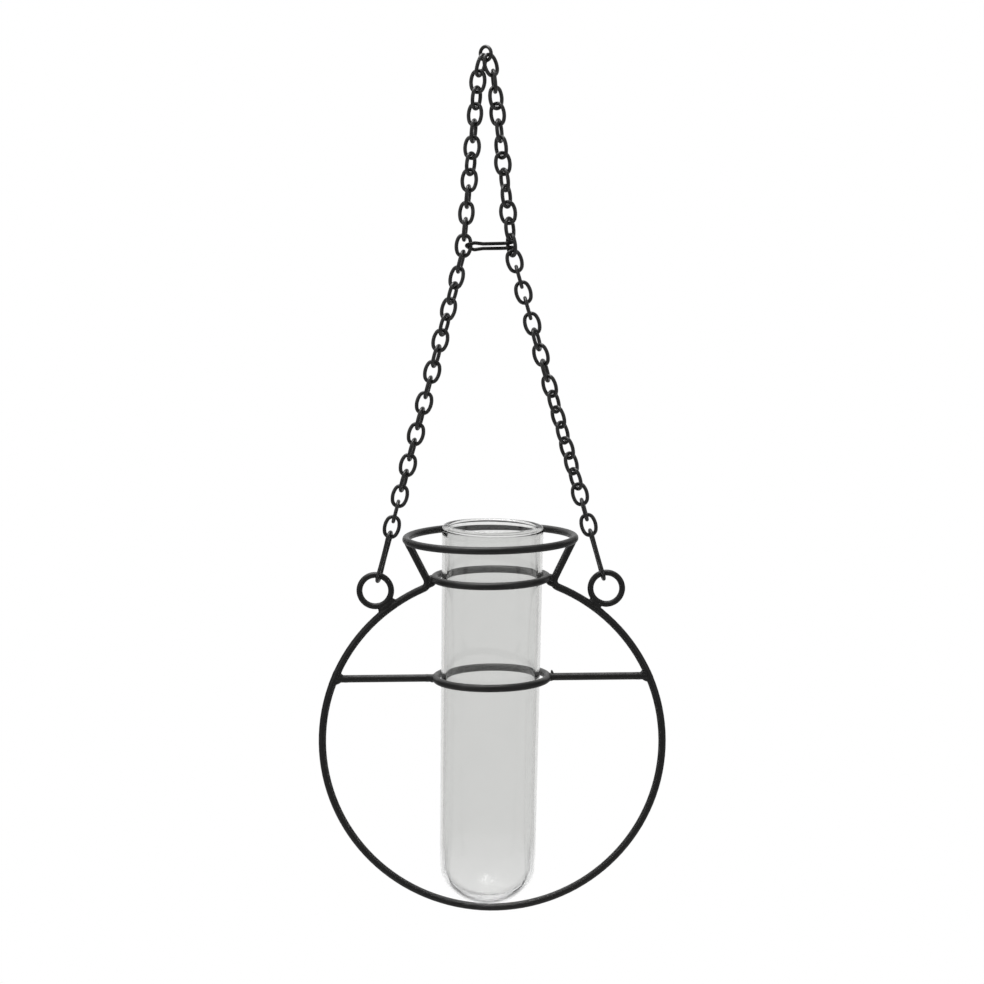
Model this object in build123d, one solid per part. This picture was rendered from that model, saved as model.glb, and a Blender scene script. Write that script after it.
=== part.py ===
from build123d import *
import math
import os

# Hanging wall vase: a glass tube stands in a bent wire frame that hangs from a looped chain.
# Millimetres. +Z is up, +Y points to the wall, and the origin is where the hook bears in the hanger ring.

# Glass tube
tube_radius = 20.1  # at the lip
tube_taper = 0.9  # the bottom's radius is this much less
tube_wall = 1.9
tube_floor = 2.4
bottom_depth = 15.8  # of the round bottom, which is flatter than half a ball
bottom_bend_share = 0.75  # radius of the bend from the wall into it, over its depth
tube_rest_gap = 0.3  # between the round bottom and the hoop that carries it
lip_rise = 5.3  # of the lip over the middle of the rim ring's wire
lip_bead = 2.5  # thickness of the rounded lip, which swells inwards

# Wire frame
frame_wire = 3.0
hoop_radius = 68.0  # to the middle of the wire, as all ring radii here
neck_bend_radius = 2.7
neck_ring_lift = 1.7  # of the neck ring over the middles of the two bends that hold it
ring_clearance = 0.7  # between the tube's lip radius and the rings round it
side_gap = 0.2  # what the leaning tube leaves of that clearance
tube_ring_drop = 40.4  # from the neck ring down to the tube ring
rim_ring_radius = 33.4
rim_ring_rise = 15.7  # from the neck ring up to the rim ring
weld_gap = 0.03  # between two wires that a weld joins

# Eyelets on the hoop's shoulders
eyelet_wire = 2.4
eyelet_radius = 6.3
eyelet_spread = 12.5  # from the rim ring's radius out to the eyelet's middle, to keep the chain off the rim

# Chain
chain_wire = 1.5
link_pitch = 6.37
link_end_radius = 2.5
link_bulge = 0.3  # how far the sides stand out past the end radius
chain_gap = 0.45  # left between two links where they hook together
connector_wire = 1.5
connector_length = 20.3  # between the middles of its end wires
connector_waist = 0.5  # how far its sides draw in
connector_rolls = (77, 97)  # of the left and the right one, as for the links below
top_half_gap = 2.85  # from the middle to each leg, below the first row
first_half_gap = 1.2  # the same where the first row hooks on the hanger ring
upper_lean = 5.6  # of each leg above the tie, in degrees
# How far each link is turned about its leg, in degrees from flat to the wall, the top one first
upper_left_rolls = [61, -20, 58, -28, 74, -13, 57, -15, 79, -25, 82, 0]
lower_left_rolls = [79, -32, 65, -26, 64, -15, 72, -8, 82, 0, 76, 0, 78, 0, 76, 0, 90, 0]
upper_right_rolls = [36, 98, 36, 154, 72, 133, 13, 118, 57, -4, 58, 120]
lower_right_rolls = [13, 90, 6, 90, 6, 72, 156, 75, 147, 53, 138, 49, 140, 42, 127, 8, 86, 7]
left_rolls = upper_left_rolls + lower_left_rolls
right_rolls = upper_right_rolls + lower_right_rolls
tie_row = len(upper_left_rolls)  # the row that the tie clasps
link_rows = len(left_rolls)

# Hanger ring
hanger_wire = 1.4
hanger_radius = 2.7
hanger_turn = -40  # about the hanging line, in degrees from flat to the wall

# Tie wire between the two legs
tie_wire_diameter = 1.4
tie_gap = 0.15  # between the tie and the links that it clasps
tie_left_rises = (1.5, -1.3)  # of its two strands over the left link's middle
tie_right_rises = (0.95, -0.95)  # the same over the right link's middle
tie_pinch = 1.9  # between the strands where pliers drew them together
tie_pinch_share = 0.3  # of the way from the left link to the right one
tie_tail = 1.2  # straight end behind the right link
tie_bend_share = 0.95  # of the corner's room that a bend of the tie takes


def cap_radius(radius, depth):
    """Radius of the cap of a round bottom, which runs on from the bend at the wall's foot."""
    bend = depth * bottom_bend_share
    return ((radius - bend) ** 2 + depth**2 - bend**2) / (2 * (depth - bend))


# Rings round the tube and the neck bends that touch them, seen in the XZ plane from the hoop's centre
ring_radius = tube_radius + ring_clearance + frame_wire / 2
bend_to_ring = frame_wire + weld_gap + neck_bend_radius
bend_x = ring_radius + math.sqrt(bend_to_ring**2 - neck_ring_lift**2)
bend_z = math.sqrt((hoop_radius + neck_bend_radius) ** 2 - bend_x**2)
neck_z = bend_z + neck_ring_lift
tube_ring_z = neck_z - tube_ring_drop
rim_z = neck_z + rim_ring_rise

# The neck arm runs from the bend to the middle of the rim ring's wire, just short of its surface
to_rim = math.hypot(rim_ring_radius - bend_x, rim_z - bend_z)
to_rim_angle = math.atan2(rim_z - bend_z, rim_ring_radius - bend_x)
arm_angle = to_rim_angle - math.asin(neck_bend_radius / to_rim)
arm_way = (math.cos(arm_angle), math.sin(arm_angle))
arm_foot_x = bend_x - neck_bend_radius * arm_way[1]
arm_foot_z = bend_z + neck_bend_radius * arm_way[0]
arm_short = frame_wire / 2 + weld_gap
arm_top_x = rim_ring_radius - arm_short * arm_way[0]
arm_top_z = rim_z - arm_short * arm_way[1]
shoulder_share = hoop_radius / (hoop_radius + neck_bend_radius)
shoulder_x = bend_x * shoulder_share
shoulder_z = bend_z * shoulder_share

# The tube stands on the hoop and leans until it is near both rings
tube_lean = math.degrees(math.atan2(2 * (ring_clearance - side_gap), tube_ring_drop))
bottom_radius = tube_radius - tube_taper
lean_sin = math.sin(math.radians(tube_lean))
lean_cos = math.cos(math.radians(tube_lean))
pivot_z = neck_z - tube_ring_drop / 2
bottom_cap = cap_radius(bottom_radius, bottom_depth)
cap_reach = hoop_radius - frame_wire / 2 - tube_rest_gap - bottom_cap
cap_down = pivot_z * lean_cos + math.sqrt(cap_reach**2 - (pivot_z * lean_sin) ** 2)
pivot_down = cap_down + bottom_cap - bottom_depth
bottom_centre_x = -pivot_down * lean_sin
bottom_centre_z = pivot_z - pivot_down * lean_cos
tube_length = bottom_depth + (rim_z + lip_rise - bottom_centre_z) / lean_cos

# Eyelet centre, outside the hoop
eyelet_reach = hoop_radius + frame_wire / 2 + weld_gap + eyelet_wire / 2 + eyelet_radius
eyelet_x = rim_ring_radius + eyelet_spread
eyelet_z = math.sqrt(eyelet_reach**2 - eyelet_x**2)

# Link sizes, all to the wire's middle
link_half_width = link_end_radius + link_bulge
link_half_length = (link_pitch + chain_wire + chain_gap) / 2
connector_end_radius = (eyelet_wire + connector_wire) / 2 + chain_gap
eyelet_hook = (eyelet_wire + connector_wire) / 2 + chain_gap
connector_hook = (connector_wire + chain_wire) / 2 + chain_gap
hanger_hook = (hanger_wire + chain_wire) / 2 + chain_gap

# Lower leg: straight from the eyelet up to the joint under the tied row
upper_sin = math.sin(math.radians(upper_lean))
upper_cos = math.cos(math.radians(upper_lean))
kink_x = top_half_gap + (tie_row - 1) * link_pitch * upper_sin
last_link_reach = eyelet_radius - eyelet_hook + connector_length - connector_hook + link_half_length
kink_reach = last_link_reach + (link_rows - tie_row - 0.5) * link_pitch
lower_sin = (eyelet_x - kink_x) / kink_reach
lower_cos = math.sqrt(1 - lower_sin**2)
lower_lean = math.degrees(math.asin(lower_sin))
kink_z = eyelet_z + kink_reach * lower_cos

# Connector links: their middles, and the joints at both ends
connector_reach = eyelet_radius - eyelet_hook + connector_length / 2
connector_x = eyelet_x - connector_reach * lower_sin
connector_z = eyelet_z + connector_reach * lower_cos
connector_joint_z = eyelet_z + (last_link_reach - link_half_length) * lower_cos
eyelet_joint_z = eyelet_z + eyelet_radius * lower_cos

# First row: from the top of the upper leg to the turned hanger ring, for the right link
top_z = kink_z + (tie_row - 1) * link_pitch * upper_cos
first_x = first_half_gap * math.cos(math.radians(hanger_turn))
first_y = first_half_gap * math.sin(math.radians(hanger_turn))
first_rise = math.sqrt(link_pitch**2 - (top_half_gap - first_x) ** 2 - first_y**2)
first_lean = math.degrees(math.atan2(top_half_gap - first_x, first_rise))
first_tip = -math.degrees(math.asin(first_y / link_pitch))
hook_share = hanger_hook / 2 / link_pitch
ring_touch_x = first_x + (top_half_gap - first_x) * hook_share
ring_touch_y = first_y - first_y * hook_share
ring_touch_z = top_z + first_rise - first_rise * hook_share
hanger_z = ring_touch_z + math.sqrt(hanger_radius**2 - ring_touch_x**2 - ring_touch_y**2)
hook_z = hanger_z + hanger_radius - hanger_wire / 2


def from_hook(z):
    """Height above the hook's bearing point of a height above the hoop's centre."""
    return z - hook_z


def row_place(row):
    """Middle of a row's right link over the hoop's centre, and how far it leans in and tips forward."""
    if row == 1:
        middle = Vector((top_half_gap + first_x) / 2, first_y / 2, top_z + first_rise / 2)
        return middle, first_lean, first_tip
    if row <= tie_row:
        up = (tie_row - row + 0.5) * link_pitch
        return Vector(kink_x - up * upper_sin, 0, kink_z + up * upper_cos), upper_lean, 0
    down = (row - tie_row - 0.5) * link_pitch
    return Vector(kink_x + down * lower_sin, 0, kink_z - down * lower_cos), lower_lean, 0


def link_place(row, side, roll):
    """Where a row's left or right link goes. The left one is the right one's, half a turn round."""
    middle, lean, tip = row_place(row)
    stand = Pos(side * middle.X, side * middle.Y, middle.Z)
    return stand * Rot(0, -side * lean, 0) * Rot(side * tip, 0, 0) * Rot(0, 0, roll)


def joint_height(row):
    """Height over the hoop's centre of the joint between a row and the one above it."""
    if row <= tie_row + 1:
        return kink_z + (tie_row + 1 - row) * link_pitch * upper_cos
    return kink_z - (row - tie_row - 1) * link_pitch * lower_cos


def round_wire(path, diameter):
    """A round wire along a path of straight runs and tangent arcs."""
    section = Plane(origin=path @ 0, z_dir=path % 0) * Circle(diameter / 2)
    return sweep(section, path=path)


def wire_ring(radius, diameter):
    """A level ring of round wire."""
    return Torus(radius, diameter / 2)


def upright(sketch_edges):
    """A wire drawn in XY, stood up in the XZ plane."""
    return Plane.XZ * Wire(sketch_edges)


def side_radius(half_length, end_radius, half_width):
    """Radius of a link's bowed sides, tangent to its round ends. It is negative for sides drawn in."""
    end_y = half_length - end_radius
    return (end_y**2 + half_width**2 - end_radius**2) / (2 * (half_width - end_radius))


def bowed_link(half_length, end_radius, half_width, wire):
    """A closed link standing along Z in the XZ plane: two round ends and two bowed sides."""
    end_y = half_length - end_radius
    bow = side_radius(half_length, end_radius, half_width)
    end_share = end_radius / (bow - end_radius)
    corner_x = (bow - half_width) * end_share
    corner_y = end_y + end_y * end_share
    right = ThreePointArc((corner_x, -corner_y), (half_width, 0), (corner_x, corner_y))
    top = ThreePointArc((corner_x, corner_y), (0, half_length), (-corner_x, corner_y))
    left = ThreePointArc((-corner_x, corner_y), (-half_width, 0), (-corner_x, -corner_y))
    bottom = ThreePointArc((-corner_x, -corner_y), (0, -half_length), (corner_x, -corner_y))
    return round_wire(upright([right, top, left, bottom]), wire)


def connector_link(side, roll):
    """The long link between the left or right leg's last chain link and its eyelet."""
    waist = connector_end_radius - connector_waist
    link = bowed_link(connector_length / 2, connector_end_radius, waist, connector_wire)
    stand = Pos(side * connector_x, 0, connector_z)
    return stand * Rot(0, -side * lower_lean, 0) * Rot(0, 0, roll) * link


def outline_wire():
    """The frame's one bent wire: left neck arm, left bend, the hoop, right bend, right neck arm."""
    bend_nearest_x = bend_x - neck_bend_radius
    edges = [
        Line((-arm_top_x, arm_top_z), (-arm_foot_x, arm_foot_z)),
        ThreePointArc(
            (-arm_foot_x, arm_foot_z), (-bend_nearest_x, bend_z), (-shoulder_x, shoulder_z)
        ),
        ThreePointArc((-shoulder_x, shoulder_z), (0, -hoop_radius), (shoulder_x, shoulder_z)),
        ThreePointArc((shoulder_x, shoulder_z), (bend_nearest_x, bend_z), (arm_foot_x, arm_foot_z)),
        Line((arm_foot_x, arm_foot_z), (arm_top_x, arm_top_z)),
    ]
    return round_wire(upright(edges), frame_wire)


def crossbar(side):
    """A bar from the tube ring out to the hoop, its ends hollowed to fit both wires."""
    outer_x = math.sqrt(hoop_radius**2 - tube_ring_z**2)
    length = outer_x - ring_radius
    bar = Cylinder(frame_wire / 2, length, rotation=(0, 90, 0))
    bar = Pos(side * (ring_radius + outer_x) / 2, 0, tube_ring_z) * bar
    fit = frame_wire + 2 * weld_gap
    bar -= Rot(90, 0, 0) * wire_ring(hoop_radius, fit)
    bar -= Pos(0, 0, tube_ring_z) * wire_ring(ring_radius, fit)
    return bar


def eyelet(side):
    """A closed eye on the hoop's shoulder."""
    return Pos(side * eyelet_x, 0, eyelet_z) * Rot(90, 0, 0) * wire_ring(eyelet_radius, eyelet_wire)


def bottom_edges(radius, depth):
    """Half of a round bottom, from the wall's foot to the axis: a bend, and a cap that runs on from it."""
    bend = depth * bottom_bend_share
    cap = cap_radius(radius, depth)
    meet = math.atan2(depth - cap, radius - bend)

    def on_bend(angle):
        return (radius - bend + bend * math.cos(angle), bend * math.sin(angle))

    def on_cap(angle):
        return (cap * math.cos(angle), cap - depth + cap * math.sin(angle))

    down = -math.pi / 2
    return [
        ThreePointArc((radius, 0), on_bend(meet / 2), on_bend(meet)),
        ThreePointArc(on_bend(meet), on_cap((meet + down) / 2), (0, -depth)),
    ]


def tube_body():
    """The glass tube about Z, from its wall's foot: round bottom, tapered wall and a beaded lip."""
    lip_radius = lip_bead / 2
    lip_z = tube_length - bottom_depth - lip_radius
    bead_foot_z = lip_z - math.sqrt(lip_radius**2 - (tube_wall - lip_radius) ** 2)
    inner_bottom = bottom_radius - tube_wall
    inner_lip = tube_radius - tube_wall
    edges = [
        Line((0, tube_floor - bottom_depth), (0, -bottom_depth)),
        *bottom_edges(bottom_radius, bottom_depth),
        Line((bottom_radius, 0), (tube_radius, lip_z)),
        ThreePointArc(
            (tube_radius, lip_z),
            (tube_radius - lip_radius, lip_z + lip_radius),
            (inner_lip, bead_foot_z),
        ),
        Line((inner_lip, bead_foot_z), (inner_bottom, 0)),
        *bottom_edges(inner_bottom, bottom_depth - tube_floor),
    ]
    return revolve(Plane.XZ * Face(Wire(edges)), Axis.Z)


def glass_tube():
    """The tube where it stands."""
    return Pos(bottom_centre_x, 0, bottom_centre_z) * Rot(0, tube_lean, 0) * tube_body()


def tie_path():
    """Middle line of the tie: hooked through the right link, round the left link's side, and back."""
    left = link_place(tie_row, -1, left_rolls[tie_row - 1])
    right = link_place(tie_row, 1, right_rolls[tie_row - 1])
    turn = (chain_wire + tie_wire_diameter) / 2 + tie_gap
    bow = side_radius(link_half_length, link_end_radius, link_half_width)

    def beside(link, across, deep, rise):
        strand_x = link_half_width - bow + math.sqrt(bow**2 - rise**2)
        return (link * Pos(strand_x + across, deep, rise)).position

    def right_hook(rise):
        corners = [(turn + tie_tail, -turn), (-turn, -turn), (-turn, turn), (turn, turn)]
        return [beside(right, across, deep, rise) for across, deep in corners]

    corners = [(1, -1), (-1, -1), (-1, 1), (1, 1)]
    step = (tie_left_rises[1] - tie_left_rises[0]) / (len(corners) - 1)
    left_hook = []
    for number, (across, deep) in enumerate(corners):
        rise = tie_left_rises[0] + number * step
        left_hook.append(beside(left, across * turn, deep * turn, rise))
    upper, lower = (right_hook(rise) for rise in tie_right_rises)
    pinch_upper = left_hook[0] + (upper[-1] - left_hook[0]) * tie_pinch_share
    pinch_lower = left_hook[-1] + (lower[-1] - left_hook[-1]) * tie_pinch_share
    middle_z = (pinch_upper.Z + pinch_lower.Z) / 2
    pinch_upper = Vector(pinch_upper.X, pinch_upper.Y, middle_z + tie_pinch / 2)
    pinch_lower = Vector(pinch_lower.X, pinch_lower.Y, middle_z - tie_pinch / 2)
    points = upper + [pinch_upper] + left_hook + [pinch_lower] + lower[::-1]
    return FilletPolyline(*points, radius=tie_bend_share * turn)


def least_self_gap(path, diameter):
    """Narrowest space that a bent wire leaves to itself, apart from its own nearby length."""
    count = round(path.length / (diameter / 4))
    points = [path @ (number / count) for number in range(count + 1)]
    apart = round(math.pi * diameter / (path.length / count))
    gaps = []
    for number, point in enumerate(points):
        gaps += [(point - other).length for other in points[number + apart:]]
    return min(gaps) - diameter


def export(name, shape):
    """Write one piece, moved from the hoop's centre to the hook's frame."""
    export_step(Pos(0, 0, from_hook(0)) * shape, f"parts/{name}.step")


def main():
    os.makedirs("parts", exist_ok=True)
    export("outline_wire", outline_wire())
    export("rim_ring", Pos(0, 0, rim_z) * wire_ring(rim_ring_radius, frame_wire))
    export("neck_ring", Pos(0, 0, neck_z) * wire_ring(ring_radius, frame_wire))
    export("tube_ring", Pos(0, 0, tube_ring_z) * wire_ring(ring_radius, frame_wire))
    for name, side in (("left", -1), ("right", 1)):
        export(f"crossbar_{name}", crossbar(side))
        export(f"eyelet_{name}", eyelet(side))
    export("glass_tube", glass_tube())
    ring = Rot(0, 0, hanger_turn) * Rot(90, 0, 0) * wire_ring(hanger_radius, hanger_wire)
    export("hanger_ring", Pos(0, 0, hanger_z) * ring)
    tie = tie_path()
    print("tie wire's least gap to itself", round(least_self_gap(tie, tie_wire_diameter), 2), "mm")
    export("tie_wire", round_wire(tie, tie_wire_diameter))
    left_roll, right_roll = connector_rolls
    export("connector_links", Compound([connector_link(-1, left_roll), connector_link(1, right_roll)]))
    link = bowed_link(link_half_length, link_end_radius, link_half_width, chain_wire)
    for row, (left_roll, right_roll) in enumerate(zip(left_rolls, right_rolls), start=1):
        left = link_place(row, -1, left_roll) * link
        right = link_place(row, 1, right_roll) * link
        export(f"chain_row_{row:02d}", Compound([left, right]))


main()
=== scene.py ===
import math

import bmesh
import bpy
from mathutils import Matrix, Vector, noise


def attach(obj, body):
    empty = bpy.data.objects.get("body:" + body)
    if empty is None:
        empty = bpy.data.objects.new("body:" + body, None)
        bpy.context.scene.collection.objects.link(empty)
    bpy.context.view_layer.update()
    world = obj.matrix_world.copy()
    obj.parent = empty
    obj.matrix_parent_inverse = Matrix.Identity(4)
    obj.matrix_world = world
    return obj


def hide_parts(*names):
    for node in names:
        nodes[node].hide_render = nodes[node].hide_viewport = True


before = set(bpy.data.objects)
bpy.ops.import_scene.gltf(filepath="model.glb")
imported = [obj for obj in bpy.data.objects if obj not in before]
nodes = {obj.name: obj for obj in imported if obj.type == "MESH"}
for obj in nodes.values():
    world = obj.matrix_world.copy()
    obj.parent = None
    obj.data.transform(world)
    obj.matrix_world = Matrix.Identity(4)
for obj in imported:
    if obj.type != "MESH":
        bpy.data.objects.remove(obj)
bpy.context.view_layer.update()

scene = bpy.context.scene
hookDrop = 0.27408905  # from the hook's bearing point down to the hoop's middle
mm = 0.001
print("frame loaded,", len(nodes), "nodes")


# Shader maths: a wrapped socket, so that 1 - mask adds its own node
class Socket:
    def __init__(self, tree, port=None):
        self.tree = tree
        self.port = port

    def node(self, kind, settings=None, sockets=None, out=0):
        made = self.tree.nodes.new(kind)
        for name, value in (settings or {}).items():
            setattr(made, name, value)
        for name, value in (sockets or {}).items():
            self.plug(made.inputs[name], value)
        return Socket(self.tree, made.outputs[out]) if len(made.outputs) else made

    def plug(self, target, value):
        if isinstance(value, Socket):
            self.tree.links.new(value.port, target)
        else:
            target.default_value = value

    def maths(self, operation, *others):
        values = dict(enumerate((self, *others)))
        return self.node("ShaderNodeMath", {"operation": operation}, values)

    def __add__(self, other):
        return self.maths("ADD", other)

    __radd__ = __add__

    def __sub__(self, other):
        return self.maths("SUBTRACT", other)

    def __rsub__(self, other):
        return self.node("ShaderNodeMath", {"operation": "SUBTRACT"}, {0: other, 1: self})

    def __mul__(self, other):
        return self.maths("MULTIPLY", other)

    __rmul__ = __mul__

    def tint(self, low, high):  # this mask between two colours
        return self.node("ShaderNodeMix", {"data_type": "RGBA"}, {0: self, 6: low, 7: high}, out=2)

    def step(self, low, high):  # 0 below low, 1 above high, smooth between
        return self.node(
            "ShaderNodeMapRange",
            {"interpolation_type": "SMOOTHSTEP"},
            {"Value": self, "From Min": low, "From Max": high},
        )

    def grain(self, scale, detail=2.0, rough=0.5):  # noise on these coordinates
        return self.node(
            "ShaderNodeTexNoise",
            None,
            {"Vector": self, "Scale": scale, "Detail": detail, "Roughness": rough},
        )


def newMaterial(name):
    material = bpy.data.materials.new(name)
    material.use_nodes = True
    shader = material.node_tree.nodes["Principled BSDF"]
    return material, shader, Socket(material.node_tree)


def addBump(tree, shader, finish, height):
    sizes = {"Strength": finish["bump"], "Distance": finish["bumpDepth"], "Height": height}
    tree.plug(shader.inputs["Normal"], tree.node("ShaderNodeBump", None, sizes))


def splitPlace(place):
    parts = place.node("ShaderNodeSeparateXYZ", None, {0: place}).port.node
    return [Socket(place.tree, port) for port in parts.outputs]


def joinPlace(x, y, z):
    return x.node("ShaderNodeCombineXYZ", None, {0: x, 1: y, 2: z})


streakLay = {"bar": 0.08, "turn": 0.004}  # squeeze along a bar, and metres for each radian of a bend


# Coordinates that run along a wire, so that streaks follow its bends
def alongWire(place, lay, centre):
    x, y, z = splitPlace(place)
    if lay == "bar":
        return joinPlace(x * streakLay["bar"], y, z)
    if lay == "level":
        across, over, up = x - centre[0], y - centre[1], z - centre[2]
    else:
        across, over, up = x - centre[0], z - centre[2], y - centre[1]
    radius = (across * across + over * over).maths("SQRT")
    turn = over.maths("ARCTAN2", across)
    return joinPlace(radius, up, turn * streakLay["turn"])


# Satin black paint on the frame's wire
frameCoat = {
    "dark": (0.0042, 0.0040, 0.0037, 1.0),
    "pale": (0.0120, 0.0115, 0.0107, 1.0),
    "roughness": (0.36, 0.50),
    "specular": 0.60,
    "peel": 1500.0,  # bumps per metre of the paint's orange peel
    "peelRough": 0.04,
    "cloud": 170.0,
    "cloudEdge": (0.38, 0.68),
    "cloudShare": 0.55,  # of the wear, and the streaks make up the rest
    "streak": 900.0,
    "streakEdge": (0.5, 0.78),
    "streakBump": 0.6,
    "bump": 0.16,
    "bumpDepth": 0.00002,
}

# The crossbars' paint is smoother and a little paler
barCoat = dict(frameCoat, specular=0.62, pale=(0.0150, 0.0144, 0.0135, 1.0), bump=0.06)


def paintedWire(name, lay=None, centre=(0.0, 0.0, 0.0), coat=frameCoat):
    material, shader, tree = newMaterial(name)
    place = tree.node("ShaderNodeTexCoord", None, None, out=3)
    peel = place.grain(coat["peel"], 2.0, 0.55)
    cloud = place.grain(coat["cloud"], 3.0, 0.6).step(*coat["cloudEdge"])
    course = alongWire(place, lay, centre) if lay else place
    fineness = coat["streak"] if lay else coat["streak"] / 2
    streak = course.grain(fineness, 3.0, 0.6).step(*coat["streakEdge"])
    worn = cloud * coat["cloudShare"] + streak * (1 - coat["cloudShare"])
    tree.plug(shader.inputs["Base Color"], worn.tint(coat["dark"], coat["pale"]))
    low, high = coat["roughness"]
    tree.plug(shader.inputs["Roughness"], low + (high - low) * (1 - worn) + peel * coat["peelRough"])
    addBump(tree, shader, coat, peel + streak * coat["streakBump"])
    shader.inputs["Specular IOR Level"].default_value = coat["specular"]
    return material


# The chain's paint is thinner, and rubbed where links bear on each other
chainCoat = {
    "dark": (0.0040, 0.0038, 0.0035, 1.0),
    "pale": (0.0105, 0.0100, 0.0094, 1.0),
    "rubbed": (0.0240, 0.0230, 0.0216, 1.0),
    "roughness": (0.32, 0.46),
    "specular": 0.92,
    "peel": 2600.0,
    "cloud": 420.0,
    "cloudEdge": (0.36, 0.7),
    "wear": 1900.0,
    "wearEdge": (0.45, 0.65),
    "wearGloss": 0.08,
    "bump": 0.3,
    "bumpDepth": 0.00004,
    "kink": -0.0791830,  # height of the joint under the tied row
    "upperStep": 0.0063396,  # from joint to joint down a leg, above and below it
    "lowerStep": 0.0061464,
    "kinkBlend": 0.0002,
    "bearing": 0.0016,  # how far from a joint the paint is rubbed
}


def paintedChain(name, coat=chainCoat):
    material, shader, tree = newMaterial(name)
    place = tree.node("ShaderNodeTexCoord", None, None, out=3)
    fromKink = splitPlace(place)[2] - coat["kink"]
    upper = fromKink.maths("PINGPONG", coat["upperStep"] / 2)
    lower = fromKink.maths("PINGPONG", coat["lowerStep"] / 2)
    over = fromKink.step(-coat["kinkBlend"], coat["kinkBlend"])
    away = upper * over + lower * (1 - over)
    peel = place.grain(coat["peel"], 2.0, 0.55)
    cloud = place.grain(coat["cloud"], 3.0, 0.6).step(*coat["cloudEdge"])
    wear = place.grain(coat["wear"], 2.0, 0.6).step(*coat["wearEdge"])
    rubbed = (1 - away.step(0.0, coat["bearing"])) * wear
    colour = rubbed.tint(cloud.tint(coat["dark"], coat["pale"]), coat["rubbed"])
    tree.plug(shader.inputs["Base Color"], colour)
    low, high = coat["roughness"]
    rough = high - (high - low) * cloud - rubbed * coat["wearGloss"]
    tree.plug(shader.inputs["Roughness"], rough)
    addBump(tree, shader, coat, peel)
    shader.inputs["Specular IOR Level"].default_value = coat["specular"]
    return material


# Soft annealed wire of the tie, with the marks of pliers
tieCoat = {
    "dark": (0.0090, 0.0085, 0.0080, 1.0),
    "pale": (0.0300, 0.0285, 0.0270, 1.0),
    "roughness": (0.36, 0.55),
    "specular": 0.3,
    "scale": 700.0,
    "scaleEdge": (0.42, 0.66),
    "scaleBump": 0.4,
    "nick": 2300.0,
    "nickEdge": (0.6, 0.75),
    "bump": 0.4,
    "bumpDepth": 0.00005,
}


def annealedWire(name, coat=tieCoat):
    material, shader, tree = newMaterial(name)
    place = tree.node("ShaderNodeTexCoord", None, None, out=3)
    scale = place.grain(coat["scale"], 4.0, 0.65).step(*coat["scaleEdge"])
    nick = place.grain(coat["nick"], 1.0, 0.5).step(*coat["nickEdge"])
    tree.plug(shader.inputs["Base Color"], scale.tint(coat["dark"], coat["pale"]))
    low, high = coat["roughness"]
    tree.plug(shader.inputs["Roughness"], high - (high - low) * scale)
    addBump(tree, shader, coat, scale * coat["scaleBump"] - nick)
    shader.inputs["Specular IOR Level"].default_value = coat["specular"]
    return material


# Clear drawn glass: grey on the outer face, clear on the inner one, with long drawing lines
clearGlass = {
    "grey": (0.645, 0.645, 0.634, 1.0),
    "haze": (0.630, 0.630, 0.620, 1.0),
    "clear": (0.985, 0.990, 0.988, 1.0),
    "bowl": (0.720, 0.720, 0.712, 1.0),  # in the round bottom the grey is on the inner face
    "ior": 1.47,
    "foot": (-0.00239749, 0.0, -0.05034154 - hookDrop),  # where the wall meets the round bottom
    "lean": 1.41792,
    "middle": 0.01825,  # radius half way through the wall at the foot, and its growth upwards
    "flare": 0.0067,
    "flat": 1.25,  # that radius over the depth half way through the round bottom
    "faceBlend": 0.0003,
    "bowlEdge": (-0.004, 0.012),  # heights between which the round bottom's look gives way
    "edge": (0.85, 0.6),  # light that passes the bottom and the lip straight, seen edge on
    "edgeOn": (0.5, 0.88),
    "lip": 0.1381,  # height of the lip over the foot
    "lipEdge": (0.0035, 0.0020),  # below that height
    "lines": 260.0,
    "lineStretch": 0.03,
    "hazeCloud": 60.0,
    "hazeEdge": (0.4, 0.75),
    "hazeRough": 0.012,
    "seeds": 520.0,  # tiny bubbles and dust in the round bottom
    "seedEdge": (0.44, 0.56),
    "seedRough": 0.15,
    "bump": 0.12,
    "bumpDepth": 0.00005,
}


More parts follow.
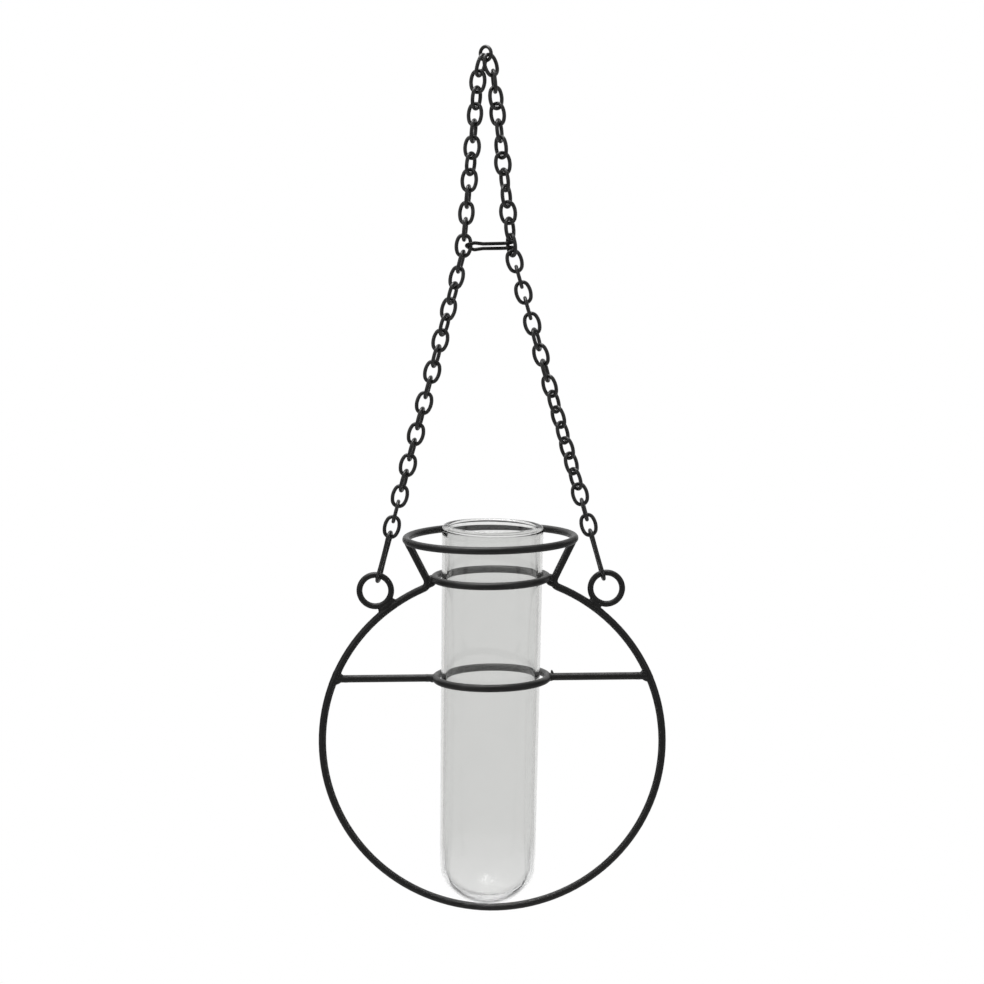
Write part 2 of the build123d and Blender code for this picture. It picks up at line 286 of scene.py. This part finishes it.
def drawnGlass(name, glass=clearGlass):
    material, shader, tree = newMaterial(name)
    place = tree.node("ShaderNodeTexCoord", None, None, out=3)
    x, y, z = splitPlace(place)
    lines = joinPlace(x, y, z * glass["lineStretch"]).grain(glass["lines"], 2.0, 0.5)
    haze = place.grain(glass["hazeCloud"], 3.0, 0.6).step(*glass["hazeEdge"])
    up = z - glass["foot"][2]
    across = x - glass["foot"][0] - up * math.tan(math.radians(glass["lean"]))
    below = up.maths("MINIMUM", 0.0) * glass["flat"]
    radius = (across * across + y * y + below * below).maths("SQRT")
    fromMiddle = radius - up.maths("MAXIMUM", 0.0) * glass["flare"]  # of the wall's thickness
    middle, blend = glass["middle"], glass["faceBlend"]
    outside = fromMiddle.step(middle - blend, middle + blend)
    bowl = 1 - up.step(*glass["bowlEdge"])
    outer = bowl.tint(haze.tint(glass["grey"], glass["haze"]), glass["clear"])
    inner = bowl.tint(glass["clear"], glass["bowl"])
    tree.plug(shader.inputs["Base Color"], outside.tint(inner, outer))
    seeds = place.grain(glass["seeds"], 2.0, 0.5).step(*glass["seedEdge"])
    rough = haze * glass["hazeRough"] + bowl * seeds * glass["seedRough"]
    tree.plug(shader.inputs["Roughness"], rough)
    addBump(tree, shader, glass, lines)
    shader.inputs["Transmission Weight"].default_value = 1.0
    shader.inputs["IOR"].default_value = glass["ior"]
    facing = tree.node("ShaderNodeLayerWeight", None, {"Blend": 0.5}, out=1)
    edgeOn = facing.step(*glass["edgeOn"])
    rim = up.step(*(glass["lip"] - drop for drop in glass["lipEdge"]))
    soft = bowl * glass["edge"][0] + rim * glass["edge"][1]
    straight = tree.node("ShaderNodeBsdfTransparent", None, None)
    glossy = Socket(tree.tree, shader.outputs[0])
    mixed = tree.node("ShaderNodeMixShader", None, {0: edgeOn * soft, 1: glossy, 2: straight})
    tree.plug(material.node_tree.nodes["Material Output"].inputs["Surface"], mixed)
    return material


def dress(names, material):
    for name in names:
        mesh = nodes[name].data
        mesh.materials.clear()
        mesh.materials.append(material)


hoopMiddle = (0.0, 0.0, -hookDrop)
eyeletSpot = (0.0459, 0.0618612)  # out from the hoop's middle and up
coatHoop = paintedWire("paintedHoop", "upright", hoopMiddle)
coatRing = paintedWire("paintedRing", "level", (0.0, 0.0, 0.0))
coatBar = paintedWire("paintedBar", "bar", coat=barCoat)
coatWeld = paintedWire("paintedWeld")
dress(["outline_wire"], coatHoop)
dress(["rim_ring", "neck_ring", "tube_ring"], coatRing)
dress(["crossbar_left", "crossbar_right"], coatBar)
for side, name in ((-1, "left"), (1, "right")):
    middle = (side * eyeletSpot[0], 0.0, eyeletSpot[1] - hookDrop)
    dress(["eyelet_" + name], paintedWire("paintedEyelet" + name.title(), "upright", middle))
chainNames = [name for name in nodes if name.startswith("chain_row_")]
coatChain = paintedChain("paintedChain")
dress(chainNames + ["connector_links", "hanger_ring"], coatChain)
dress(["tie_wire"], annealedWire("annealedTie"))
print("paint and wire finishes set")


# Every added piece rides on a body and carries its material
def newPiece(name, bm, material, body):
    mesh = bpy.data.meshes.new(name)
    bm.to_mesh(mesh)
    bm.free()
    for face in mesh.polygons:
        face.use_smooth = True
    mesh.materials.append(material)
    piece = bpy.data.objects.new(name, mesh)
    scene.collection.objects.link(piece)
    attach(piece, body)
    return piece


# Glass tube, turned from its profile
tubeShape = {
    "lipRadius": 20.1,
    "bottomRadius": 19.2,
    "wall": 1.9,
    "floor": 2.4,
    "bottomDepth": 15.8,
    "bendShare": 0.75,
    "bead": 2.5,
    "length": 153.90079,
    "turns": 192,
    "bendSteps": 22,
    "capSteps": 24,
    "lipSteps": 36,
    "wallSteps": 60,
    "underBead": 0.9985,  # share of the inner wall, close under the lip's bead
}


def arcPoints(middle, radius, start, end, count):
    spread = [start + (end - start) * step / count for step in range(count + 1)]
    return [
        (middle[0] + radius * math.cos(angle), middle[1] + radius * math.sin(angle))
        for angle in spread
    ]


def bottomPoints(radius, depth, shape):  # from the wall's foot to the axis: a bend, then a cap
    bend = depth * shape["bendShare"]
    cap = ((radius - bend) ** 2 + depth ** 2 - bend ** 2) / (2 * (depth - bend))
    meet = math.atan2(depth - cap, radius - bend)
    points = arcPoints((radius - bend, 0.0), bend, 0.0, meet, shape["bendSteps"])
    return points + arcPoints((0.0, cap - depth), cap, meet, -math.pi / 2, shape["capSteps"])[1:]


def tubeProfile(shape):
    lip = shape["bead"] / 2
    lipTop = shape["length"] - shape["bottomDepth"] - lip
    beadFoot = math.sqrt(lip ** 2 - (shape["wall"] - lip) ** 2)
    innerBottom = shape["bottomRadius"] - shape["wall"]
    innerLip = shape["lipRadius"] - shape["wall"]
    points = bottomPoints(innerBottom, shape["bottomDepth"] - shape["floor"], shape)[::-1]
    wallSteps = shape["wallSteps"]
    innerTop = lipTop - beadFoot
    for share in [step / wallSteps for step in range(1, wallSteps)] + [shape["underBead"]]:
        points.append((innerBottom + (innerLip - innerBottom) * share, innerTop * share))
    footTurn = 2 * math.pi + math.atan2(-beadFoot, lip - shape["wall"])
    points += arcPoints((shape["lipRadius"] - lip, lipTop), lip, footTurn, 0.0, shape["lipSteps"])
    for step in range(1, wallSteps):
        share = step / wallSteps
        radius = shape["lipRadius"] + (shape["bottomRadius"] - shape["lipRadius"]) * share
        points.append((radius, lipTop * (1 - share)))
    return points + bottomPoints(shape["bottomRadius"], shape["bottomDepth"], shape)


def turnedTube(shape, glass):
    bm = bmesh.new()
    profile = tubeProfile(shape)
    turns = shape["turns"]
    seat = Matrix.Translation(glass["foot"]) @ Matrix.Rotation(math.radians(glass["lean"]), 4, "Y")
    rings = []
    for radius, rise in profile:
        if radius < 1e-6:  # on the axis
            rings.append([bm.verts.new(seat @ Vector((0.0, 0.0, rise * mm)))])
            continue
        ring = []
        for step in range(turns):
            turn = 2 * math.pi * step / turns
            spot = Vector((radius * math.cos(turn), radius * math.sin(turn), rise)) * mm
            ring.append(bm.verts.new(seat @ spot))
        rings.append(ring)
    for low, high in zip(rings, rings[1:]):
        for step in range(turns):
            after = (step + 1) % turns
            if len(low) == 1:
                bm.faces.new((low[0], high[after], high[step]))
            elif len(high) == 1:
                bm.faces.new((low[step], low[after], high[0]))
            else:
                bm.faces.new((low[step], low[after], high[after], high[step]))
    bmesh.ops.recalc_face_normals(bm, faces=bm.faces)
    return bm


tubePiece = newPiece(
    "tube_glass",
    turnedTube(tubeShape, clearGlass),
    drawnGlass("drawnGlass"),
    "tube",
)
tubePiece.visible_shadow = False  # lamp light passes the clear glass
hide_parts("glass_tube")
print("glass tube turned,", len(tubePiece.data.vertices), "points")


# Weld beads: short lengths of the two wires and a bead of filler, melted together
wireFrame = {
    "hoop": 68.0,
    "wire": 1.5,
    "ring": 22.3,
    "neckRise": 66.71696,
    "tubeRise": 26.31696,
    "rim": 33.4,
    "rimRise": 82.41696,
    "bend": 2.7,
    "bendOut": 27.77201,
    "bendRise": 65.01696,
    "armFoot": (25.35388, 66.21807),
    "armTop": (32.71937, 81.04669),
    "eyelet": 6.3,
    "eyeletWire": 1.2,
    "eyeletOut": 45.9,
    "eyeletRise": 61.86122,
}
weldMelt = {"voxel": 0.16, "smooth": 9, "over": 0.03, "ripple": 0.09, "rippleScale": 700.0}

# Filler in mm: half sizes, places out from the wire or ring and up, and reach along the wires
eyeletFill = {
    "reach": (5.0, 4.6),
    "out": 1.5,
    "left": (4.2, 1.75),  # along the hoop and out from it
    "right": (2.9, 1.35),
    "deep": 1.45,
}
barHoopFill = {
    "reach": 4.6,
    "bar": (0.0, 2.0, 4.0, 5.4),
    "left": (1.5, 2.7),  # over and under the bar
    "right": (1.0, 2.5),
    "turn": (0.67, 0.42),
    "inset": (0.15, 0.1),
    "wide": 0.8,
    "deep": 1.25,
}
barRingFill = {
    "reach": 3.8,
    "bar": (0.0, 1.6, 3.2, 4.4),
    "place": (1.4, -0.25),
    "size": (1.4, 1.55, 1.9),
    "drop": {"place": (1.9, 1.7), "wide": 0.55, "up": (-0.25, 1.15), "deep": 0.6},
}
neckFill = {
    "reach": (4.0, 2.0),
    "bendTurn": 16,
    "place": (1.4, -0.4),
    "size": (1.35, 1.6, 1.95),
    "corner": {"place": (1.75, -0.9), "along": (2.3, -0.95), "over": (0.5, 1.15), "deep": 1.4},
}
rimFill = {"reach": 4.0, "arm": (4.4, 3.0, 1.5, -0.6), "size": (1.3, 1.5, 1.9)}
alongY, alongZ = Vector((0, 1, 0)), Vector((0, 0, 1))


def rodAlong(bm, points, flat, radius, sides=24):
    rings = []
    for index, point in enumerate(points):
        before = points[max(index - 1, 0)]
        after = points[min(index + 1, len(points) - 1)]
        side = flat.cross((after - before).normalized())
        ring = []
        for step in range(sides):
            turn = 2 * math.pi * step / sides
            out = math.cos(turn) * flat + math.sin(turn) * side
            ring.append(bm.verts.new(point + radius * out))
        rings.append(ring)
    for low, high in zip(rings, rings[1:]):
        for step in range(sides):
            after = (step + 1) % sides
            bm.faces.new((low[step], low[after], high[after], high[step]))
    bm.faces.new(rings[0])
    bm.faces.new(list(reversed(rings[-1])))


def bead(bm, middle, long, wide, deep):
    seat = Matrix((long, wide, deep)).transposed().to_4x4()
    seat.translation = middle
    bmesh.ops.create_icosphere(bm, subdivisions=3, radius=1.0, matrix=seat)


def uprightArc(middle, radius, around, reach, count=16):
    spread = [around + (2 * step / count - 1) * reach / radius for step in range(count + 1)]
    return [
        Vector((middle[0] + radius * math.cos(a), 0.0, middle[1] + radius * math.sin(a)))
        for a in spread
    ]


def levelArc(radius, rise, around, reach, count=16):
    spread = [around + (2 * step / count - 1) * reach / radius for step in range(count + 1)]
    return [Vector((radius * math.cos(a), radius * math.sin(a), rise)) for a in spread]


def meltedWeld(name, bm, seed):
    bmesh.ops.recalc_face_normals(bm, faces=bm.faces)
    for vert in bm.verts:
        vert.co = Vector((vert.co.x, vert.co.y, vert.co.z - hookDrop / mm)) * mm
    mesh = bpy.data.meshes.new(name + "_raw")
    bm.to_mesh(mesh)
    bm.free()
    raw = bpy.data.objects.new(name + "_raw", mesh)
    scene.collection.objects.link(raw)
    melt = raw.modifiers.new("melt", "REMESH")
    melt.mode = "VOXEL"
    melt.voxel_size = weldMelt["voxel"] * mm
    soften = raw.modifiers.new("soften", "SMOOTH")
    soften.iterations = weldMelt["smooth"]
    cooled = bmesh.new()
    cooled.from_object(raw, bpy.context.evaluated_depsgraph_get())
    bpy.data.objects.remove(raw)
    cooled.normal_update()
    for vert in cooled.verts:
        ripple = noise.noise(vert.co * weldMelt["rippleScale"] + Vector((seed, 0.0, 0.0)))
        vert.co += vert.normal * ripple * weldMelt["ripple"] * mm
    return newPiece(name, cooled, coatWeld, "frame")


def upright(side, out, rise):  # a point or direction in the frame's plane
    return Vector((side * out, 0, rise))


def facingAngle(side):
    return 0.0 if side > 0 else math.pi


# Eyelet on the hoop's shoulder; the last number of each weld seeds its ripple
def eyeletWeld(shape, fill, side, name, wire):
    middle = upright(side, shape["eyeletOut"], shape["eyeletRise"])
    out = middle.normalized()
    around = math.atan2(out.z, out.x)
    hoopReach, eyeletReach = fill["reach"]
    bm = bmesh.new()
    rodAlong(bm, uprightArc((0, 0), shape["hoop"], around, hoopReach), alongY, wire)
    eye = uprightArc((middle.x, middle.z), shape["eyelet"], around + math.pi, eyeletReach)
    rodAlong(bm, eye, alongY, shape["eyeletWire"] + weldMelt["over"])
    long, thick = fill[name]
    across = alongY.cross(out)
    bead(bm, out * (shape["hoop"] + fill["out"]), across * long, out * thick, alongY * fill["deep"])
    meltedWeld("weld_eyelet_" + name, bm, 11.0 + side)


def barHoopWeld(shape, fill, side, name, wire):
    rise = shape["tubeRise"]
    hoopOut = math.sqrt(shape["hoop"] ** 2 - rise ** 2)
    around = math.atan2(rise, side * hoopOut)
    bm = bmesh.new()
    rodAlong(bm, uprightArc((0, 0), shape["hoop"], around, fill["reach"]), alongY, wire)
    rodAlong(bm, [upright(side, hoopOut - reach, rise) for reach in fill["bar"]], alongY, wire)
    inside = shape["hoop"] - shape["wire"]
    inset, lower = fill["inset"]
    for size, edge, turn in zip(fill[name], (1, -1), fill["turn"]):
        corner = rise + edge * shape["wire"]
        place = upright(side, math.sqrt(inside ** 2 - corner ** 2) - inset, corner - edge * lower)
        long = upright(side, math.cos(turn), edge * math.sin(turn))
        bead(bm, place, long * size, alongY.cross(long) * fill["wide"], alongY * fill["deep"])
    meltedWeld("weld_bar_hoop_" + name, bm, 21.0 + side)


def barRingWeld(shape, fill, side, name, wire):
    rise, ring = shape["tubeRise"], shape["ring"]
    bm = bmesh.new()
    rodAlong(bm, levelArc(ring, rise, facingAngle(side), fill["reach"]), alongZ, wire)
    rodAlong(bm, [upright(side, ring + reach, rise) for reach in fill["bar"]], alongY, wire)
    out, up = fill["place"]
    wide, high, deep = fill["size"]
    place = upright(side, ring + out, rise + up)
    bead(bm, place, upright(side, wide, 0), alongZ * high, alongY * deep)
    if side > 0:  # a drop of filler stands up on the right bar
        drop = fill["drop"]
        out, up = drop["place"]
        place = upright(side, ring + out, rise + up)
        wide, high = upright(side, drop["wide"], 0), upright(side, *drop["up"])
        bead(bm, place, wide, high, alongY * drop["deep"])
    meltedWeld("weld_bar_ring_" + name, bm, 31.0 + side)


# Neck ring on the outline wire's bend
def neckWeld(shape, fill, side, name, wire):
    rise, ring = shape["neckRise"], shape["ring"]
    ringReach, bendReach = fill["reach"]
    bm = bmesh.new()
    rodAlong(bm, levelArc(ring, rise, facingAngle(side), ringReach), alongZ, wire)
    bendFacing = math.pi - facingAngle(side) + side * math.radians(fill["bendTurn"])
    bendMiddle = (side * shape["bendOut"], shape["bendRise"])
    rodAlong(bm, uprightArc(bendMiddle, shape["bend"], bendFacing, bendReach), alongY, wire)
    out, up = fill["place"]
    wide, high, deep = fill["size"]
    place = upright(side, ring + out, rise + up)
    bead(bm, place, upright(side, wide, 0), alongZ * high, alongY * deep)
    corner = fill["corner"]  # filler in the corner under the ring
    out, up = corner["place"]
    place = upright(side, ring + out, shape["bendRise"] + up)
    along, over = upright(side, *corner["along"]), upright(side, *corner["over"])
    bead(bm, place, along, over, alongY * corner["deep"])
    meltedWeld("weld_neck_" + name, bm, 41.0 + side)


# Neck arm under the rim ring
def rimWeld(shape, fill, side, name, wire):
    armTop = upright(side, *shape["armTop"])
    arm = (armTop - upright(side, *shape["armFoot"])).normalized()
    rimArc = levelArc(shape["rim"], shape["rimRise"], facingAngle(side), fill["reach"])
    bm = bmesh.new()
    rodAlong(bm, rimArc, alongZ, wire)
    rodAlong(bm, [armTop - arm * reach for reach in fill["arm"]], alongY, wire)
    long, wide, deep = fill["size"]
    bead(bm, armTop, arm * long, alongY.cross(arm) * wide, alongY * deep)
    meltedWeld("weld_rim_" + name, bm, 51.0 + side)


def addWelds(shape):
    kinds = (
        (eyeletWeld, eyeletFill),
        (barHoopWeld, barHoopFill),
        (barRingWeld, barRingFill),
        (neckWeld, neckFill),
        (rimWeld, rimFill),
    )
    wire = shape["wire"] + weldMelt["over"]
    for side, name in ((-1, "left"), (1, "right")):
        for weld, fill in kinds:
            weld(shape, fill, side, name, wire)
    return 2 * len(kinds)


print("weld beads made:", addWelds(wireFrame))


# Paint that ran into the chain's joints, where it fills most of the play between two links
jointPaint = {
    "tiedRow": 12,  # the legs spread from the joints under it
    "out": 9.68763,
    "pitch": 6.37,
    "lean": (5.6, 15.22601),  # of the legs above and below those joints
    "rows": 29,
    "wide": 0.40,
    "thick": 0.165,
}


def addJointPaint(shape):
    for row in range(1, shape["rows"] + 1):
        past = row - shape["tiedRow"]
        lean = math.radians(shape["lean"][1 if past > 0 else 0])
        bm = bmesh.new()
        for side in (-1, 1):
            leg = Vector((side * math.sin(lean), 0, -math.cos(lean)))
            start = Vector((side * shape["out"], 0, chainCoat["kink"] / mm))
            place = start + leg * past * shape["pitch"]
            across = leg.cross(alongY) * shape["wide"]
            bead(bm, place, across, alongY * shape["wide"], leg * shape["thick"])
        for vert in bm.verts:
            vert.co *= mm
        newPiece(f"joint_paint_{row:02d}", bm, coatChain, f"row_{row:02d}")


addJointPaint(jointPaint)
print("joint paint added")


# Studio: white surroundings, big soft lamps overhead and behind, and two weak fills
studio = {
    "ambient": 0.14,
    "floorDrop": -0.75,
    "floorHalf": 9.0,
    "floorColour": (0.50, 0.50, 0.50, 1.0),
    "floorRough": 0.9,
    "floorCells": 24,
    "floorFade": (0.4, 1.15),  # distances between which the floor turns plain white
    "floorWhite": 0.6,  # how white it is nearer than that
    "lamps": (
        # name, place, aim, size, watts
        ("overhead", (-0.2, 0.05, 1.1), (0.0, 0.0, -0.2), 1.05, 22.0),
        ("fillLeft", (-1.3, -1.2, 0.35), (0.0, 0.0, -0.2), 1.1, 4.0),
        ("fillRight", (1.4, -1.0, 0.2), (0.0, 0.0, -0.2), 1.1, 3.0),
        ("behind", (0.0, 1.1, 0.1), (0.0, 0.0, -0.15), 2.2, 14.0),
    ),
}


def whiteRays(tree, share=1.0):  # rays that see plain white, straight or through the glass
    path = tree.node("ShaderNodeLightPath").port.node.outputs
    kinds = ("Is Camera Ray", "Is Transmission Ray")
    seen, through = (Socket(tree.tree, path[kind]) for kind in kinds)
    return (seen * share).maths("MAXIMUM", through)


def addWorld():
    world = bpy.data.worlds.new("softStudio")
    scene.world = world
    world.use_nodes = True
    world.node_tree.nodes.clear()
    tree = Socket(world.node_tree)
    dim, white = (
        tree.node("ShaderNodeBackground", None, {"Color": (1, 1, 1, 1), "Strength": strength})
        for strength in (studio["ambient"], 1.0)
    )
    shown = tree.node("ShaderNodeMixShader", None, {0: whiteRays(tree), 1: dim, 2: white})
    tree.node("ShaderNodeOutputWorld", None, {"Surface": shown})


def addFloor():
    half, cells = studio["floorHalf"], studio["floorCells"]
    bm = bmesh.new()
    bmesh.ops.create_grid(bm, x_segments=cells, y_segments=cells, size=half)
    bmesh.ops.translate(bm, verts=bm.verts, vec=(0.0, 0.0, studio["floorDrop"]))
    mesh = bpy.data.meshes.new("floor")
    bm.to_mesh(mesh)
    bm.free()
    floor = bpy.data.objects.new("floor", mesh)
    scene.collection.objects.link(floor)
    material, shader, tree = newMaterial("paleFloor")
    place = tree.node("ShaderNodeTexCoord", None, None, out=3)
    x, y = splitPlace(place)[:2]
    far = (x * x + y * y).maths("SQRT").step(*studio["floorFade"])
    near = studio["floorWhite"]
    shader.inputs["Base Color"].default_value = studio["floorColour"]
    shader.inputs["Roughness"].default_value = studio["floorRough"]
    glow = tree.node("ShaderNodeEmission", None, {"Color": (1, 1, 1, 1), "Strength": 1.0})
    lit = Socket(tree.tree, shader.outputs[0])
    white = whiteRays(tree, near + far * (1 - near))
    shown = tree.node("ShaderNodeMixShader", None, {0: white, 1: lit, 2: glow})
    tree.plug(material.node_tree.nodes["Material Output"].inputs["Surface"], shown)
    mesh.materials.append(material)


def addLamps():
    for name, place, aim, size, watts in studio["lamps"]:
        lamp = bpy.data.lights.new(name, "AREA")
        lamp.shape = "SQUARE"
        lamp.size = size
        lamp.energy = watts
        holder = bpy.data.objects.new(name, lamp)
        holder.location = place
        shine = Vector(aim) - Vector(place)
        holder.rotation_euler = shine.to_track_quat("-Z", "Y").to_euler()
        holder.visible_camera = False
        holder.visible_transmission = False
        scene.collection.objects.link(holder)


addWorld()
addFloor()
addLamps()
print("studio lit")


# Camera where the photograph was taken from
photoCamera = {
    "place": (-0.00534, -1.0488, 0.23694 - hookDrop),
    "pitch": 7.392,
    "yaw": 0.337,
    "roll": -0.54,
    "lens": 97.83,
    "sensor": 36.0,
    "clip": (0.05, 60.0),
}


def addCamera(shot):
    pitch, yaw, roll = (math.radians(shot[name]) for name in ("pitch", "yaw", "roll"))
    forward = Vector(
        (math.sin(yaw) * math.cos(pitch), math.cos(yaw) * math.cos(pitch), -math.sin(pitch))
    )
    right = Vector((math.cos(yaw), -math.sin(yaw), 0.0))
    up = right.cross(forward)
    turnedRight = right * math.cos(roll) + up * math.sin(roll)
    turnedUp = up * math.cos(roll) - right * math.sin(roll)
    lens = bpy.data.cameras.new("photoCamera")
    lens.lens = shot["lens"]
    lens.sensor_width = shot["sensor"]
    lens.clip_start, lens.clip_end = shot["clip"]
    camera = bpy.data.objects.new("photoCamera", lens)
    stand = Matrix((turnedRight, turnedUp, -forward)).transposed().to_4x4()
    stand.translation = shot["place"]
    camera.matrix_world = stand
    scene.collection.objects.link(camera)
    scene.camera = camera


addCamera(photoCamera)
scene.view_settings.view_transform = "Standard"
print("camera placed")
